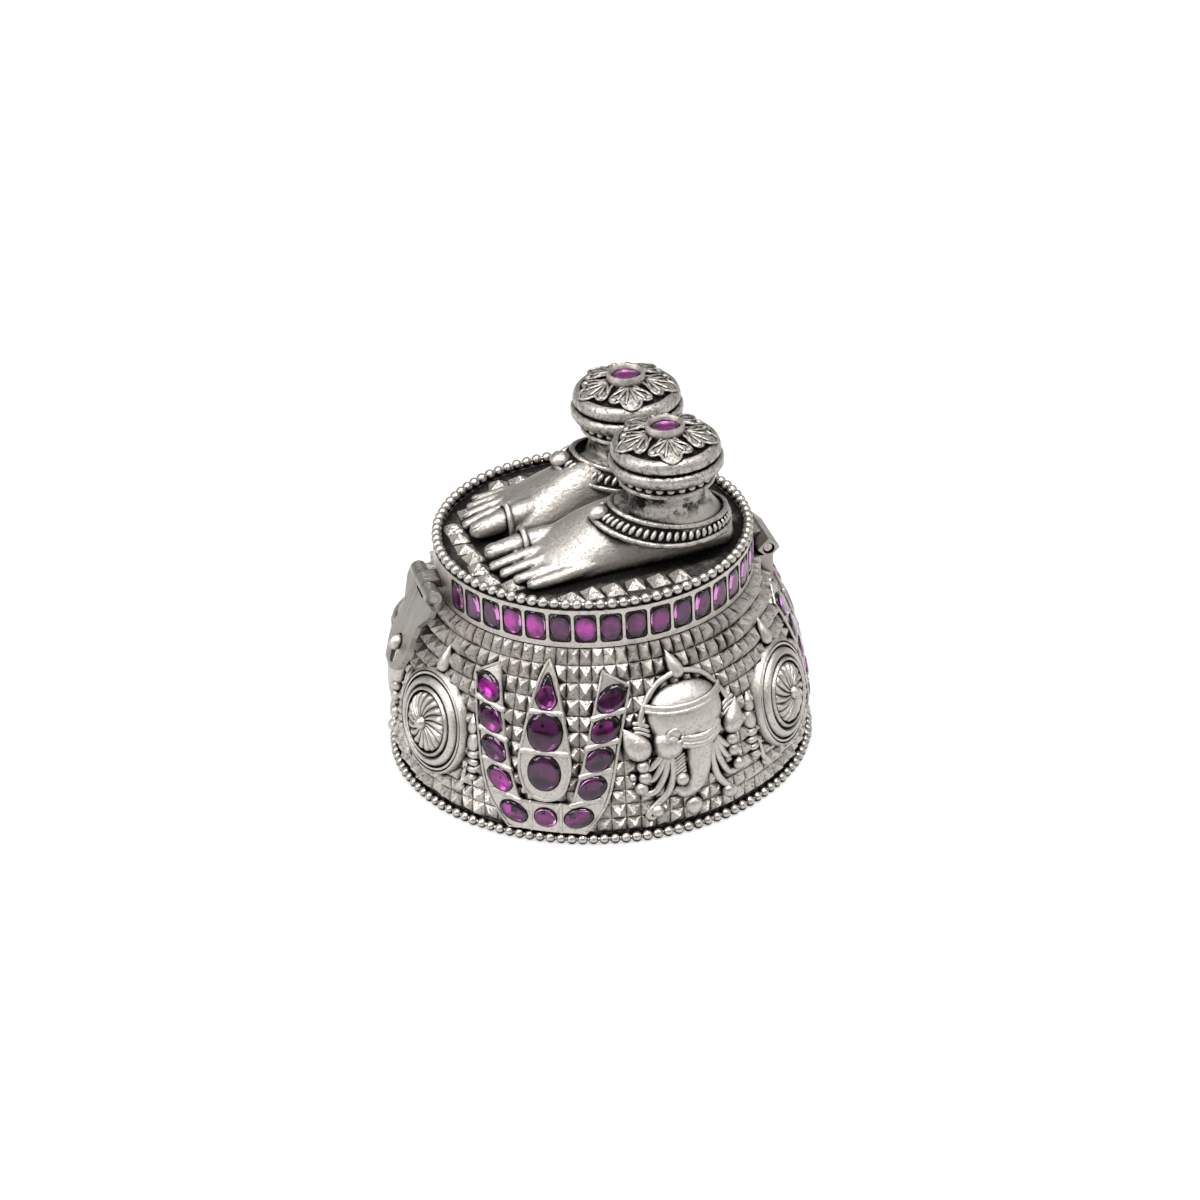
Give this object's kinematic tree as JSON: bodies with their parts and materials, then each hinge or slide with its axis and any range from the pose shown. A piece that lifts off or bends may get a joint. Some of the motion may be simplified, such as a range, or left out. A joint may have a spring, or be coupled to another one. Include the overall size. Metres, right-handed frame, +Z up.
{
  "type": "kumkum box",
  "caption": "Round oxidised silver kumkum box with magenta stones, ritual emblems on the drum, and a hinged lid carrying a pair of feet, held by a hasp.",
  "frame": {"origin": "centre of the round base, on the table", "axes": "+Z up through the drum, -Y to the hasp, +Y to the hinge, +X to the right foot"},
  "size_m": [0.0607, 0.0602, 0.0514],
  "materials": {
    "silver": "oxidised satin silver",
    "blackened_silver": "blackened silver",
    "magenta_glass": "foil-backed magenta glass"
  },
  "bodies": {
    "body": {"body_drum": "silver", "bottom_plate": "silver", "base_bead_wire": "silver", "neck_collar": "silver", "hasp_stud": "silver", "body_hinge_knuckles": "silver", "hinge_pin": "silver", "wheel_1": "silver", "wheel_tassels_1": "silver", "tilak_frame_1": "silver", "tilak_flame_1": "silver", "tilak_frame_stones_1": "magenta_glass", "tilak_flame_stones_1": "magenta_glass", "conch_1": "silver", "conch_garland_1": "silver", "wheel_2": "silver", "wheel_tassels_2": "silver", "tilak_frame_2": "silver", "tilak_flame_2": "silver", "tilak_frame_stones_2": "magenta_glass", "tilak_flame_stones_2": "magenta_glass", "conch_2": "silver", "conch_garland_2": "silver", "wheel_3": "silver", "wheel_tassels_3": "silver", "tilak_frame_3": "silver", "tilak_flame_3": "silver", "tilak_frame_stones_3": "magenta_glass", "tilak_flame_stones_3": "magenta_glass", "conch_3": "silver", "conch_garland_3": "silver"},
    "lid": {"lid_plate": "blackened_silver", "lid_band": "silver", "lid_band_stones": "magenta_glass", "lid_bead_wire": "silver", "lid_hinge_knuckle": "silver", "hasp_bracket": "silver", "hasp_pin": "silver", "right_foot": "silver", "right_toe_ring": "silver", "right_anklet": "silver", "right_ankle_cap": "silver", "right_cap_flower": "silver", "right_cap_bezel": "silver", "right_cap_stone": "magenta_glass", "left_foot": "silver", "left_toe_ring": "silver", "left_anklet": "silver", "left_ankle_cap": "silver", "left_cap_flower": "silver", "left_cap_bezel": "silver", "left_cap_stone": "magenta_glass"},
    "hasp": {"hasp_leaf": "silver"}
  },
  "joints": [
    {"name": "lid_hinge", "type": "hinge", "parent": "body", "child": "lid", "pos_m": [0, 0.0242, 0.0276], "axis": [-1, 0, 0], "range_deg": [0, 105]},
    {"name": "hasp_swing", "type": "hinge", "parent": "lid", "child": "hasp", "pos_m": [0, -0.024, 0.02875], "axis": [-1, 0, 0], "range_deg": [0, 110]}
  ]
}
